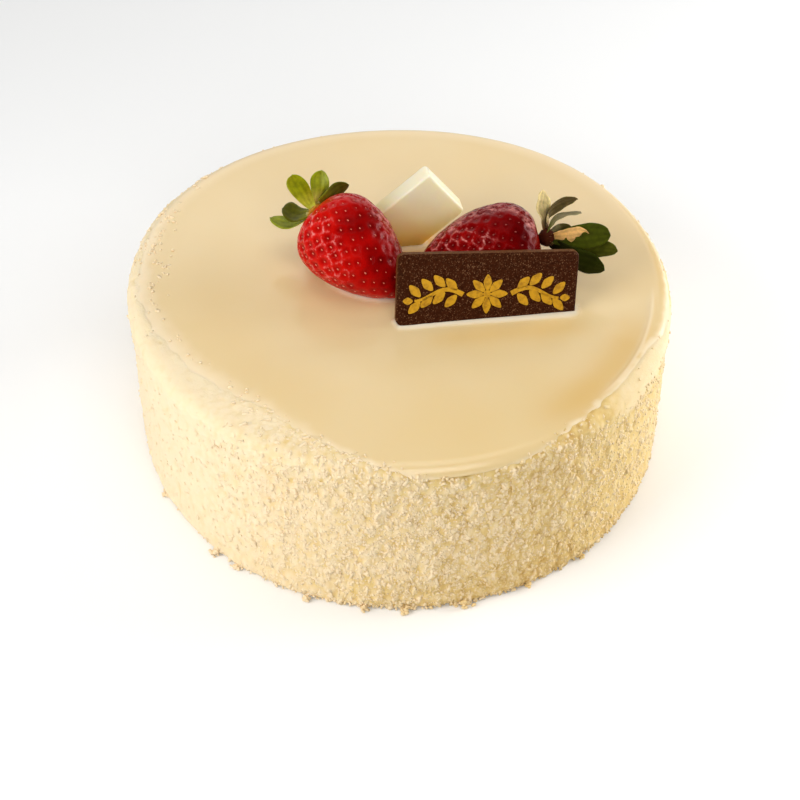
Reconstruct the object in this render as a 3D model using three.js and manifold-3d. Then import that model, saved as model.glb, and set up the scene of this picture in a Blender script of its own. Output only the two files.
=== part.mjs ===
// A round strawberry cake, uncut: a body coated all round with grated white chocolate, a poured
// cream icing over its top, two whole strawberries with their leaves, a block of white chocolate
// and a plaque of dark chocolate. Millimetres, +Z up, the origin at the middle of the underside.
// The front, where the plaque faces, is towards -Y.
import * as THREE from 'three';
import { mergeVertices } from 'three/addons/utils/BufferGeometryUtils.js';
import Module from 'manifold-3d';

const wasm = await Module();
wasm.setup();

const fullTurn = 2 * Math.PI;
const gap = 0.36; // between pieces that touch
const beyond = { side: 300, depth: 60 }; // larger than the cake, for a block that cuts

// Steps that spread a row of things evenly, however many there are: round a circle, and along
// two directions of a strip.
const goldenAngle = Math.PI * (3 - Math.sqrt(5));
const goldenStep = 0.6180339887;
const secondStep = 0.7548776662;

// Driving dimensions
const cake = {
  radius: 99.2,
  height: 70.5, // to the top of the icing
  segments: 64,
  rows: 9, // of facets up the side
  footRound: 2.5,
  crag: 0.8, // depth of the coating's unevenness
  flat: 0.72, // share of the radius within which the top is a plane
  core: 0.4, // share of the radius where the top has another ring of corners
  slope: [-0.018, 0.018], // rise of the top along +X and +Y
  lean: [0.9, 1.1], // how far the top leans along +X and +Y
};
const icing = {
  thickness: 2.5,
  shoulder: 5, // radius over the rim
  still: 1.9, // the depth below the top that the waves of its edge leave alone
  sag: { depth: 0.9, bearing: 0.35 }, // the softer rim at the left
};
icing.reach = icing.shoulder + icing.thickness / 2; // a round bead ends it below the shoulder
const coating = {
  sideFlakes: 132,
  rimFlakes: 28,
  longest: 6,
  shortest: 2.6,
  // over the icing's rim: how far in at most, and where, in degrees round the cake
  stray: { width: 19, middle: 214, spread: 38, from: 150, sweep: 120 },
};
const berries = {
  left: {
    length: 46.4,
    radius: 17,
    tip: [2.4, -12, 73.6],
    bearing: 143, // of the leaf end, seen from the tip
    rise: 24.5,
    neck: 1.4, // half the height of the boss that its leaves grow from
  },
  right: {
    length: 47.4,
    radius: 16.2,
    tip: [7.3, 1.3, 76.5],
    bearing: 6,
    rise: 10.7,
    neck: 3.2,
  },
};
const leafSeat = { depth: 2.4, radius: 6 }; // the dip at a berry's leaf end
const boss = { radius: 3.4, inset: 1.2 }; // what the leaves grow from, starting inside it
const leafGrid = { along: 5, across: 2, thickness: 0.6 };
const leafEdge = { base: 0.3, widest: 0.6, blunt: 0.88, round: 2.6 };
const seeds = { count: 44, length: 1.7, width: 1.2, height: 0.9, first: 0.07, range: 0.83, crowd: 0.78 };
const berryGrid = { along: 12, around: 22 };
// Where a berry is widest, as a share of its length from the tip, and how full it is either side.
const profile = { belly: 0.64, tip: [1.7, 0.72], crown: [2.8, 0.6] };
// The block and the plaque stand on a lower corner of their front face. Each is turned to the
// right, leans back, and is rolled in its own plane.
const block = {
  width: 29,
  height: 22,
  thickness: 8,
  corner: 2,
  edge: 1.2,
  foot: [3.1, 18.3, 66.2],
  turn: 10,
  lean: 6.4,
  roll: 38.3,
};
const plaque = {
  width: 66,
  height: 27.4,
  thickness: 3,
  corner: 2.6,
  edge: 0.35,
  foot: [-1, -26.3, 70.7],
  turn: 8.7,
  lean: 18,
  roll: -4.6,
};

// Colours and finishes
const finishes = {
  coating: { color: 0xf3e2b8, roughness: 0.85 },
  icing: { color: 0xe9d2a0, roughness: 0.35 },
  strawberry: { color: 0xb5100c, roughness: 0.25 },
  freshLeaf: { color: 0x8a8f22, roughness: 0.6 },
  driedLeaf: { color: 0x4a4a1c, roughness: 0.7 },
  whiteChocolate: { color: 0xf0dca6, roughness: 0.45 },
  darkChocolate: { color: 0x3a1c0c, roughness: 0.5 },
};

// A small repeatable source of random numbers from 0 to 1.
function randomFrom(seed) {
  let state = seed;
  return () => {
    state = (state + 0x6d2b79f5) | 0;
    let mixed = Math.imul(state ^ (state >>> 15), 1 | state);
    mixed = (mixed + Math.imul(mixed ^ (mixed >>> 7), 61 | mixed)) ^ mixed;
    return ((mixed ^ (mixed >>> 14)) >>> 0) / 2 ** 32;
  };
}

const degrees = (angle) => THREE.MathUtils.degToRad(angle);
const spread = (random, size) => (random() - 0.5) * size;

// --- Between three.js geometry and solids ---------------------------------------------------

// One closed skin: shared corners merged, and the flat triangles at a lathe's axis dropped.
function closedSkin(geometry) {
  const bare = geometry.clone();
  bare.deleteAttribute('normal');
  bare.deleteAttribute('uv');
  const merged = mergeVertices(bare, 1e-4);
  const corners = merged.index.array;
  const kept = [];
  for (let i = 0; i < corners.length; i += 3) {
    const [a, b, c] = corners.slice(i, i + 3);
    if (a !== b && b !== c && c !== a) kept.push(a, b, c);
  }
  merged.setIndex(kept);
  return merged;
}

// Moves every corner of a geometry by one rule.
function reshape(geometry, move) {
  const places = geometry.attributes.position;
  const point = new THREE.Vector3();
  for (let i = 0; i < places.count; i += 1) {
    point.fromBufferAttribute(places, i);
    move(point);
    places.setXYZ(i, point.x, point.y, point.z);
  }
  return geometry;
}

// Six times the volume that the skin holds, below zero when its faces point inwards.
function signedVolume(geometry) {
  const places = geometry.attributes.position;
  const corners = geometry.index.array;
  const [a, b, c] = [new THREE.Vector3(), new THREE.Vector3(), new THREE.Vector3()];
  let total = 0;
  for (let i = 0; i < corners.length; i += 3) {
    a.fromBufferAttribute(places, corners[i]);
    b.fromBufferAttribute(places, corners[i + 1]);
    c.fromBufferAttribute(places, corners[i + 2]);
    total += a.dot(b.cross(c));
  }
  return total;
}

function solidOf(geometry) {
  const corners = Uint32Array.from(geometry.index.array);
  if (signedVolume(geometry) < 0) corners.reverse();
  const mesh = new wasm.Mesh({
    numProp: 3,
    vertProperties: Float32Array.from(geometry.attributes.position.array),
    triVerts: corners,
  });
  return new wasm.Manifold(mesh);
}

function geometryOf(solid) {
  const mesh = solid.getMesh();
  const geometry = new THREE.BufferGeometry();
  geometry.setAttribute('position', new THREE.BufferAttribute(mesh.vertProperties, 3));
  geometry.setIndex(new THREE.BufferAttribute(mesh.triVerts, 1));
  return geometry;
}

// A block to cut with, its top at z = 0.
function cuttingBlock() {
  const { side, depth } = beyond;
  return new THREE.BoxGeometry(side, side, depth).translate(0, 0, -depth / 2);
}

// Joins solids, and keeps the piece with the most in it, so that no loose scrap is left.
function fused(solids) {
  const pieces = wasm.Manifold.union(solids).decompose();
  return pieces.reduce((best, piece) => (piece.volume() > best.volume() ? piece : best));
}

// --- The cake's own unevenness --------------------------------------------------------------

// How far the plan departs from a true circle: at all heights, and more at the foot.
function planSwell(angle, share) {
  const twofold = 1.9 * Math.cos(2 * angle);
  const threefold = 0.75 * Math.sin(3 * angle) - 0.35 * Math.cos(3 * angle);
  const fourfold = -0.6 * Math.cos(4 * angle) - 0.4 * Math.sin(4 * angle);
  const foot = 0.4 + 0.75 * Math.cos(angle) + 1.4 * Math.sin(3 * angle);
  return twofold + threefold + fourfold + foot * (1 - share);
}

// How far the icing's edge ends below the top: it waves, and draws up at the front.
function icingReach(angle) {
  const wave = 0.25 * Math.sin(3 * angle + 1) + 0.2 * Math.sin(7 * angle);
  return icing.reach + 0.8 * Math.sin(angle) + wave;
}

// Takes a point of the true round cake to its place on this one. Pieces that lie on each other
// go through the same rule, so that the gap between them stays.
function settle(point) {
  const angle = Math.atan2(point.y, point.x);
  const radius = Math.hypot(point.x, point.y);
  const share = point.z / cake.height;
  const edge = cake.height - icing.reach;
  const rim = cake.height - icing.still;
  const hung = cake.height - icingReach(angle);
  let z = point.z;
  if (z <= edge) z *= hung / edge;
  else if (z < rim) z = THREE.MathUtils.mapLinear(z, edge, rim, hung, rim);
  const outward = THREE.MathUtils.smoothstep(radius / cake.radius, cake.flat, 1);
  const leftward = Math.max(0, -Math.cos(angle - icing.sag.bearing));
  z -= icing.sag.depth * outward * leftward * share;
  const scale = 1 + (planSwell(angle, share) / cake.radius) * Math.min(1, radius / cake.radius);
  point.x = point.x * scale + cake.lean[0] * share;
  point.y = point.y * scale + cake.lean[1] * share;
  point.z = z + (cake.slope[0] * point.x + cake.slope[1] * point.y) * share;
}

function turned(outline) {
  const geometry = new THREE.LatheGeometry(outline, cake.segments);
  geometry.rotateX(Math.PI / 2);
  return closedSkin(geometry);
}

// Points on a quarter round in an outline, from one angle to the other.
function arc(x, y, radius, from, to, steps) {
  const curve = new THREE.EllipseCurve(x, y, radius, radius, degrees(from), degrees(to), to < from);
  return curve.getPoints(steps);
}

// --- Flakes of grated white chocolate -------------------------------------------------------

// A short crooked shred, longest along X and thinnest along Z.
function flake(length, random) {
  const box = closedSkin(new THREE.BoxGeometry(length, length * 0.5, length * 0.4));
  return reshape(box, (point) => {
    point.x *= 0.75 + 0.4 * random();
    point.y *= 0.6 + 0.7 * random();
    point.z *= 0.6 + 0.7 * random();
  });
}

// Lays a flake on the surface at a place, its long side at an angle, tipped a little off it.
function laidFlake(length, place, outward, random) {
  const geometry = flake(length, random);
  const tipped = new THREE.Euler(spread(random, 1.0), spread(random, 0.9), spread(random, 5));
  const facing = new THREE.Quaternion().setFromUnitVectors(new THREE.Vector3(0, 0, 1), outward);
  const turn = facing.multiply(new THREE.Quaternion().setFromEuler(tipped));
  geometry.applyMatrix4(new THREE.Matrix4().compose(place, turn, new THREE.Vector3(1, 1, 1)));
  return solidOf(geometry);
}

// The largest come first, and each is smaller than the one before.
const flakeLength = (share) => THREE.MathUtils.lerp(coating.longest, coating.shortest, Math.sqrt(share));

// --- The cake's body ------------------------------------------------------------------------

function cakeOutline() {
  const { radius, height, rows, footRound } = cake;
  const neck = radius - icing.thickness - gap;
  const ledge = height - icing.reach - gap;
  const side = [];
  for (let row = 1; row <= rows; row += 1) {
    side.push(new THREE.Vector2(radius, THREE.MathUtils.lerp(footRound, ledge, row / rows)));
  }
  const under = height - icing.thickness - gap;
  const bend = icing.shoulder - icing.thickness - gap;
  return [
    new THREE.Vector2(0, 0),
    ...arc(radius - footRound, footRound, footRound, -90, 0, 2),
    ...side,
    new THREE.Vector2(neck, ledge),
    ...arc(neck - bend, under - bend, bend, 0, 90, 2),
    new THREE.Vector2(radius * cake.flat, under),
    new THREE.Vector2(0, under),
  ];
}

function cakeBody() {
  const random = randomFrom(11);
  const body = turned(cakeOutline());
  const ledge = cake.height - icing.reach - gap;
  reshape(body, (point) => {
    const radius = Math.hypot(point.x, point.y);
    const onSide = radius > cake.radius - 1 && point.z < ledge - 1;
    if (onSide) {
      const outer = 1 + spread(random, 2 * cake.crag) / radius;
      point.x *= outer;
      point.y *= outer;
      point.z += spread(random, 2 * cake.crag);
    }
    settle(point);
  });
  const flakes = [];
  for (let i = 0; i < coating.sideFlakes; i += 1) {
    const length = flakeLength(i / coating.sideFlakes);
    const angle = i * goldenAngle;
    const climb = (i * secondStep) % 1;
    const low = length * 0.45;
    const high = ledge - length * 0.62; // clear of the icing's edge
    const place = new THREE.Vector3(
      cake.radius * Math.cos(angle),
      cake.radius * Math.sin(angle),
      THREE.MathUtils.lerp(low, high, climb),
    );
    settle(place);
    const outward = new THREE.Vector3(Math.cos(angle), Math.sin(angle), 0);
    flakes.push(laidFlake(length, place, outward, random));
  }
  const joined = fused([solidOf(body), ...flakes]);
  return joined.subtract(solidOf(closedSkin(cuttingBlock())));
}

// --- The poured icing -----------------------------------------------------------------------

function icingOutline() {
  const { radius, height } = cake;
  const { thickness, shoulder } = icing;
  const bead = thickness / 2;
  return [
    new THREE.Vector2(0, height - thickness),
    new THREE.Vector2(radius * cake.flat, height - thickness),
    ...arc(radius - shoulder, height - shoulder, shoulder - thickness, 90, 0, 2),
    ...arc(radius - bead, height - shoulder, bead, 180, 360, 2),
    ...arc(radius - shoulder, height - shoulder, shoulder, 0, 90, 3),
    new THREE.Vector2(radius * cake.flat, height),
    new THREE.Vector2(radius * cake.core, height),
    new THREE.Vector2(0, height),
  ];
}

// The coating strays over the icing's rim from the left round to the front, this far inwards.
function strayWidth(angle) {
  const { width, middle, spread: reach } = coating.stray;
  return width * Math.exp(-(((angle - degrees(middle)) / degrees(reach)) ** 2));
}

function icingSheet() {
  const random = randomFrom(29);
  const edge = 2.5; // how near to the side a flake lies at most
  const { from, sweep } = coating.stray;
  const sheet = reshape(turned(icingOutline()), settle);
  const flakes = [];
  for (let i = 0; i < coating.rimFlakes; i += 1) {
    const length = 0.8 * flakeLength(i / coating.rimFlakes);
    const angle = degrees(from + sweep * ((i * goldenStep) % 1));
    const inset = THREE.MathUtils.lerp(edge, Math.max(edge, strayWidth(angle)), (i * secondStep) % 1);
    const slope = Math.max(0, 1 - inset / icing.shoulder);
    const drop = icing.shoulder * (1 - Math.sqrt(1 - slope * slope));
    const place = new THREE.Vector3(
      (cake.radius - inset) * Math.cos(angle),
      (cake.radius - inset) * Math.sin(angle),
      cake.height - drop,
    );
    settle(place);
    const outward = new THREE.Vector3(slope * Math.cos(angle), slope * Math.sin(angle), 1).normalize();
    flakes.push(laidFlake(length, place, outward, random));
  }
  return fused([solidOf(sheet), ...flakes]);
}

// --- Strawberries ---------------------------------------------------------------------------

// Radius at a share of the way from the tip (0) to the leaf end (1): a blunt cone with a round
// shoulder, widest at the belly.
function berryRadius(share, berry) {
  const { belly, tip, crown } = profile;
  if (share < belly) return berry.radius * (1 - (1 - share / belly) ** tip[0]) ** tip[1];
  return berry.radius * (1 - ((share - belly) / (1 - belly)) ** crown[0]) ** crown[1];
}

// The slight lobes of a real berry, and the dip where its leaves sit.
function berryShape(point, berry) {
  const angle = Math.atan2(point.y, point.x);
  const lobes = 1 + 0.035 * Math.sin(2 * angle + 0.6) + 0.02 * Math.sin(3 * angle + 2);
  const radius = Math.hypot(point.x, point.y);
  point.x *= lobes;
  point.y *= lobes;
  if (point.z > berry.length / 2) point.z -= leafSeat.depth * Math.exp(-((radius / leafSeat.radius) ** 2));
}

// A berry's place in the cake's frame: its tip at the origin, its leaf end along local +Z.
function berryPose(berry) {
  const bearing = degrees(berry.bearing);
  const rise = degrees(berry.rise);
  const axis = new THREE.Vector3(
    Math.cos(rise) * Math.cos(bearing),
    Math.cos(rise) * Math.sin(bearing),
    Math.sin(rise),
  );
  const across = new THREE.Vector3(0, 0, 1).cross(axis).normalize();
  const over = new THREE.Vector3().crossVectors(axis, across);
  const pose = new THREE.Matrix4().makeBasis(across, over, axis);
  return pose.setPosition(...berry.tip);
}

// Everything lower than just above the icing's top, seen from a piece's own frame.
function belowIcing(pose) {
  const under = cuttingBlock();
  const slopeX = new THREE.Vector3(1, 0, cake.slope[0]).normalize();
  const slopeY = new THREE.Vector3(0, 1, cake.slope[1]).normalize();
  const up = new THREE.Vector3().crossVectors(slopeX, slopeY);
  under.applyMatrix4(new THREE.Matrix4().makeBasis(slopeX, slopeY, up));
  under.translate(0, 0, cake.height + gap);
  under.applyMatrix4(pose.clone().invert());
  return solidOf(closedSkin(under));
}

// Seeds lie all over the berry by a golden spiral, the same distance from each other.
function berrySeeds(berry) {
  const laid = [];
  for (let i = 0; i < seeds.count; i += 1) {
    const share = seeds.first + seeds.range * ((i + 0.5) / seeds.count) ** seeds.crowd;
    const angle = i * goldenAngle;
    const radius = berryRadius(share, berry);
    const fall = berryRadius(share + 0.01, berry) - berryRadius(share - 0.01, berry);
    const seed = closedSkin(new THREE.OctahedronGeometry(0.5));
    seed.scale(seeds.width, seeds.length, seeds.height);
    const outward = new THREE.Vector3(
      Math.cos(angle),
      Math.sin(angle),
      -fall / (0.02 * berry.length),
    ).normalize();
    const place = new THREE.Vector3(
      radius * Math.cos(angle),
      radius * Math.sin(angle),
      share * berry.length,
    );
    berryShape(place, berry);
    const turn = new THREE.Quaternion().setFromUnitVectors(new THREE.Vector3(0, 0, 1), outward);
    seed.applyMatrix4(new THREE.Matrix4().compose(place, turn, new THREE.Vector3(1, 1, 1)));
    laid.push(solidOf(seed));
  }
  return laid;
}

function strawberry(berry) {
  const outline = [];
  for (let i = 0; i <= berryGrid.along; i += 1) {
    const share = (1 - Math.cos((Math.PI * i) / berryGrid.along)) / 2;
    outline.push(new THREE.Vector2(berryRadius(share, berry), share * berry.length));
  }
  outline[0].x = 0;
  outline[berryGrid.along].x = 0;
  const geometry = new THREE.LatheGeometry(outline, berryGrid.around);
  geometry.rotateX(Math.PI / 2);
  const flesh = reshape(closedSkin(geometry), (point) => berryShape(point, berry));
  const fruit = fused([solidOf(flesh), ...berrySeeds(berry)]);
  return fruit.subtract(belowIcing(berryPose(berry)));
}

// --- Leaves ---------------------------------------------------------------------------------

// Half the width of a leaf at a share of its length: a narrow base, and a round blunt end.
function leafHalf(share, width) {
  const { base, widest, blunt, round } = leafEdge;
  if (share < widest) return width * (base + (1 - base) * Math.sin((Math.PI / 2) * (share / widest)));
  return width * Math.sqrt(1 - blunt * ((share - widest) / (1 - widest)) ** round);
}

// A leaf that grows along +Y from the stalk, hollowed along its midrib, twisted about it and
// curling towards its tip. Both faces are the same sheet, so they split into the same triangles.
function leaf({ length, width, lift, curl, twist }) {
  const { along, across, thickness } = leafGrid;
  const turn = degrees(twist);
  const sheet = new THREE.PlaneGeometry(1, 1, across, along);
  const faces = [1, -1].map((side) => reshape(sheet.clone(), (point) => {
    const share = 0.5 + point.y;
    const sideways = point.x * leafHalf(share, width);
    const bent = degrees(lift + curl * share);
    const wave = 0.16 * Math.abs(sideways) + 0.35 * Math.sin(9 * share + 2.5 * point.x);
    const outward = side * thickness * 0.5;
    const rise = wave + sideways * Math.sin(turn) + outward * Math.cos(turn);
    const reachOut = length * share;
    point.set(
      sideways * Math.cos(turn) - outward * Math.sin(turn),
      reachOut * Math.cos(bent) - rise * Math.sin(bent),
      reachOut * Math.sin(bent) + rise * Math.cos(bent),
    );
  }));
  return closedSheet(faces[0], faces[1], across, along);
}

// Closes two like sheets into one thin solid, with a strip round their rim.
function closedSheet(upper, lower, across, along) {
  const count = upper.attributes.position.count;
  const places = [...upper.attributes.position.array, ...lower.attributes.position.array];
  const corners = [...upper.index.array];
  const under = lower.index.array;
  for (let i = 0; i < under.length; i += 3) {
    corners.push(count + under[i], count + under[i + 2], count + under[i + 1]);
  }
  const rim = [];
  for (let i = 0; i < across; i += 1) rim.push(i);
  for (let i = 0; i < along; i += 1) rim.push(across + i * (across + 1));
  for (let i = across; i > 0; i -= 1) rim.push(along * (across + 1) + i);
  for (let i = along; i > 0; i -= 1) rim.push(i * (across + 1));
  rim.forEach((from, i) => {
    const to = rim[(i + 1) % rim.length];
    corners.push(from, to, to + count, from, to + count, from + count);
  });
  const geometry = new THREE.BufferGeometry();
  geometry.setAttribute('position', new THREE.Float32BufferAttribute(places, 3));
  geometry.setIndex(corners);
  return geometry;
}

// The leaves of one berry round a small boss, in the berry's own frame.
function leafCrown(berry, leaves) {
  const middle = new THREE.SphereGeometry(boss.radius, 8, 4);
  middle.rotateX(Math.PI / 2);
  middle.scale(1, 1, berry.neck / boss.radius);
  const parts = [solidOf(closedSkin(middle))];
  leaves.forEach(([bearing, length, width, lift, curl, twist]) => {
    const blade = leaf({ length, width, lift, curl, twist });
    blade.translate(0, boss.inset, 0);
    blade.rotateZ(degrees(bearing));
    parts.push(solidOf(closedSkin(blade)));
  });
  return fused(parts);
}

// Bearings run round the berry's axis from its upper side: bearing, length, width, lift, curl
// and twist.
const freshLeaves = [
  [-19, 16.6, 7.7, 55, -7, 48],
  [36, 14.2, 8.6, 20, 11, 28],
  [60, 15, 6.8, 4, -14, 26],
  [112, 11.5, 6.8, 2, 14, 0],
  [158, 10.5, 6.4, 2, 12, 0],
  [223, 11.5, 9, 26, 31, 45],
  [212, 17, 8.4, -4, 46, 21],
];
const driedLeaves = [
  [-45, 16.5, 8, -4, 11, 33],
  [-62, 18, 9.4, -16, 66, 0],
  [-20, 15, 9, 10, 58, 10],
  [66, 15.8, 6, 62, 8, 0],
  [74, 23.6, 9, 66, 4, 28],
  [110, 26, 7.2, 62, 4, 34],
  [121, 23.7, 8.2, 36, 12, 42],
  [180, 11, 6.5, 30, 20, 0],
  [236, 12, 7, 35, 20, 0],
];

// --- Chocolate ------------------------------------------------------------------------------

// A rounded rectangle, bevelled all round, its front lower left corner at the origin and its
// thickness behind its front face.
function slab({ width, height, thickness, corner, edge }) {
  const outline = new THREE.Shape();
  const inner = corner - edge;
  const [right, top] = [width - 2 * edge, height - 2 * edge];
  outline.absarc(inner, inner, inner, Math.PI, 1.5 * Math.PI, false);
  outline.absarc(right - inner, inner, inner, 1.5 * Math.PI, fullTurn, false);
  outline.absarc(right - inner, top - inner, inner, 0, 0.5 * Math.PI, false);
  outline.absarc(inner, top - inner, inner, 0.5 * Math.PI, Math.PI, false);
  const geometry = new THREE.ExtrudeGeometry(outline, {
    depth: thickness - 2 * edge,
    bevelThickness: edge,
    bevelSize: edge,
    bevelSegments: 1,
    curveSegments: 4,
  });
  return geometry.translate(edge, edge, edge - thickness);
}

function slabPose({ foot, turn, lean, roll }) {
  const pose = new THREE.Matrix4().makeRotationZ(degrees(turn));
  pose.multiply(new THREE.Matrix4().makeRotationX(degrees(90 - lean)));
  pose.multiply(new THREE.Matrix4().makeRotationZ(degrees(roll)));
  return pose.setPosition(...foot);
}

const standingSlab = (item) => solidOf(closedSkin(slab(item))).subtract(belowIcing(slabPose(item)));

// --- The whole ------------------------------------------------------------------------------

function piece(name, solid, finish, pose) {
  const material = new THREE.MeshStandardMaterial({ ...finish, metalness: 0, flatShading: true });
  const mesh = new THREE.Mesh(geometryOf(solid), material);
  mesh.name = name;
  if (pose) pose.decompose(mesh.position, mesh.quaternion, mesh.scale);
  return mesh;
}

// A berry and its leaves share one group, placed at the berry's tip.
function garnish(side, berry, leaves, leafFinish) {
  const group = new THREE.Group();
  berryPose(berry).decompose(group.position, group.quaternion, group.scale);
  group.add(piece(`strawberry_${side}`, strawberry(berry), finishes.strawberry));
  const crown = piece(`leaves_${side}`, leafCrown(berry, leaves), leafFinish);
  crown.position.z = berry.length - leafSeat.depth + gap + berry.neck;
  group.add(crown);
  return group;
}

const whole = new THREE.Group();
whole.add(
  piece('cake', cakeBody(), finishes.coating),
  piece('icing', icingSheet(), finishes.icing),
  garnish('left', berries.left, freshLeaves, finishes.freshLeaf),
  garnish('right', berries.right, driedLeaves, finishes.driedLeaf),
  piece('white_block', standingSlab(block), finishes.whiteChocolate, slabPose(block)),
  piece('plaque', standingSlab(plaque), finishes.darkChocolate, slabPose(plaque)),
);

export default whole;
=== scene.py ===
# A whole strawberry cake: grated white chocolate round its sides, a poured cream icing over
# the top, two strawberries, a piece of white chocolate and a plaque of dark chocolate.
# Shapes are worked out in millimetres and become metres when a piece is finished.
import math

import bmesh
import bpy
import numpy as np
from functools import partial
from mathutils import Matrix, Vector, kdtree, noise


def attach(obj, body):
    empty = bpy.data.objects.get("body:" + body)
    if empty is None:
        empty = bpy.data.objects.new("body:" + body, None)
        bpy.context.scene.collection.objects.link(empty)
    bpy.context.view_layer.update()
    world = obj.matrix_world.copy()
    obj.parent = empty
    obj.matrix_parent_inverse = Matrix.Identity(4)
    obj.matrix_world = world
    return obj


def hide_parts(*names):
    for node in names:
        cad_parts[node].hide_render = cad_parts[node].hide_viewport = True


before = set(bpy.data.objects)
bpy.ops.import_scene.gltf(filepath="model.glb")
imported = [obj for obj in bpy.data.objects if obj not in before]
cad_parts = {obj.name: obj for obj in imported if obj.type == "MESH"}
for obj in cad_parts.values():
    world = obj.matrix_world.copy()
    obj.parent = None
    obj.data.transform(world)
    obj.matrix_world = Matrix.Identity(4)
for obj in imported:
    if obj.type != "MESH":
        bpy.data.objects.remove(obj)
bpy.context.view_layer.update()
mm = 0.001
goldenAngle = math.pi * (3 - math.sqrt(5))
print("frame loaded")


# Shared helpers

def linear(code):  # an sRGB hex colour as linear light
    values = [int(code[i:i + 2], 16) / 255 for i in (1, 3, 5)]
    return [v / 12.92 if v <= 0.04045 else ((v + 0.055) / 1.055) ** 2.4 for v in values] + [1]


def link(node, links):  # a node stands for its first output
    for name, source in links.items():
        if isinstance(source, bpy.types.Node):
            source = source.outputs[0]
        node.id_data.links.new(source, node.inputs[name])


def addNode(tree, kind, settings=None, links=None):
    node = tree.nodes.new("ShaderNode" + kind)
    for name, value in (settings or {}).items():
        if name == "stops":  # of a colour ramp: a place and an sRGB colour each
            elements = node.color_ramp.elements
            while len(elements) < len(value):
                elements.new(0.5)
            for element, (place, colour) in zip(elements, value):
                element.position, element.color = place, linear(colour)
        elif isinstance(name, int) or name in node.inputs:
            node.inputs[name].default_value = value
        else:
            setattr(node, name, value)
    link(node, links or {})
    return node


def newMaterial(name, surface):
    # with its shader, what adds a node to it, and what places a pattern in metres on the part
    material = bpy.data.materials.new(name)
    material.use_nodes = True
    material.node_tree.nodes.clear()
    add = partial(addNode, material.node_tree)
    shader = add("BsdfPrincipled", surface)
    add("OutputMaterial", links={"Surface": shader})
    return material, shader, add, {"Vector": add("TexCoord").outputs["Object"]}


def waver(points, size, seed=0.0):  # smooth noise about zero, its lumps that many mm wide
    shift = Vector((seed, 1.7 * seed, 0.3 * seed))
    return np.array([noise.noise(Vector(p) / size + shift) for p in points])


def smoothStep(value, low, high):
    share = np.clip((value - low) / (high - low), 0, 1)
    return share * share * (3 - 2 * share)


def window(value, begins, full, fades, ends):  # 1 from full to fades, 0 outside the other two
    return smoothStep(value, begins, full) * (1 - smoothStep(value, fades, ends))


def polar(points):  # the bearing and the distance of each from the axis
    return np.arctan2(points[:, 1], points[:, 0]), np.hypot(points[:, 0], points[:, 1])


def around(radius, angle, height):
    return np.stack([radius * np.cos(angle), radius * np.sin(angle), height], 1)


def bell(value, middle, width):  # 1 at the middle, fading either side of it
    return np.exp(-((value - middle) / width) ** 2)


def unit(way):  # a direction one long
    return np.array(Vector(way).normalized())


def units(ways):  # the same for an array of them
    return ways / np.linalg.norm(ways, axis=1)[:, None]


def treeOf(points):
    tree = kdtree.KDTree(len(points))
    for i, point in enumerate(points):
        tree.insert(point, i)
    tree.balance()
    return tree


def meshPoints(mesh):
    points = np.empty(len(mesh.vertices) * 3)
    mesh.vertices.foreach_get("co", points)
    return points.reshape(-1, 3)


def setPoints(mesh, points):
    mesh.vertices.foreach_set("co", np.asarray(points, np.float32).ravel())
    mesh.update()


def addAttribute(mesh, name, values):  # a share from 0 to 1 at each point, for a material
    attribute = mesh.attributes.new(name, "FLOAT", "POINT")
    attribute.data.foreach_set("value", np.asarray(np.clip(values, 0, 1), np.float32))


def meshFrom(shape, name, merge=True):  # a mesh from a bmesh, its faces all pointing outwards
    if merge:
        bmesh.ops.remove_doubles(shape, verts=shape.verts, dist=1e-4)
    bmesh.ops.recalc_face_normals(shape, faces=shape.faces)
    mesh = bpy.data.meshes.new(name)
    shape.to_mesh(mesh)
    shape.free()
    return mesh


def addObject(name, data):
    made = bpy.data.objects.new(name, data)
    bpy.context.scene.collection.objects.link(made)
    return made


def finishPiece(mesh, material, nodes=(), smooth=True):  # it takes its mesh's name
    mesh.transform(Matrix.Scale(mm, 4))
    mesh.polygons.foreach_set("use_smooth", [smooth] * len(mesh.polygons))
    mesh.materials.append(material)
    piece = addObject(mesh.name, mesh)
    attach(piece, "root")
    if nodes:
        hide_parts(*nodes)


def arc(radius, height, reach, first, last, steps):  # of an outline, without its first point
    return [(radius + reach * math.cos(bend), height + reach * math.sin(bend))
            for bend in np.linspace(first, last, steps)[1:]]


def spun(outline, steps):
    # an outline of (radius, height) pairs turned round the axis: a grid rolled up, because
    # spinning this many steps takes most of a minute
    shape = bmesh.new()
    bmesh.ops.create_grid(shape, x_segments=steps, y_segments=len(outline) - 1, size=0.5)
    for vert in shape.verts:
        radius, height = outline[round((vert.co.y + 0.5) * (len(outline) - 1))]
        angle = 2 * math.pi * (vert.co.x + 0.5)
        vert.co = (radius * math.cos(angle), radius * math.sin(angle), height)
    return shape


# Camera, lights and floor

view = {
    "distance": 700,
    "elevation": 43.5,
    "target": (0.7, 0, 9.26),
    "focal": 1775,  # in pixels of the picture
    "picture": 800,  # how wide it is
}


def placeCamera():
    rise = math.radians(view["elevation"])
    back = Vector((0, -math.cos(rise), math.sin(rise)))
    data = bpy.data.cameras.new("camera")
    data.sensor_width = 36
    data.lens = view["focal"] * data.sensor_width / view["picture"]
    data.clip_start = 0.02
    camera = addObject("camera", data)
    camera.location = (Vector(view["target"]) + back * view["distance"]) * mm
    camera.rotation_euler = (math.pi / 2 - rise, 0, 0)
    bpy.context.scene.camera = camera


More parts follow.
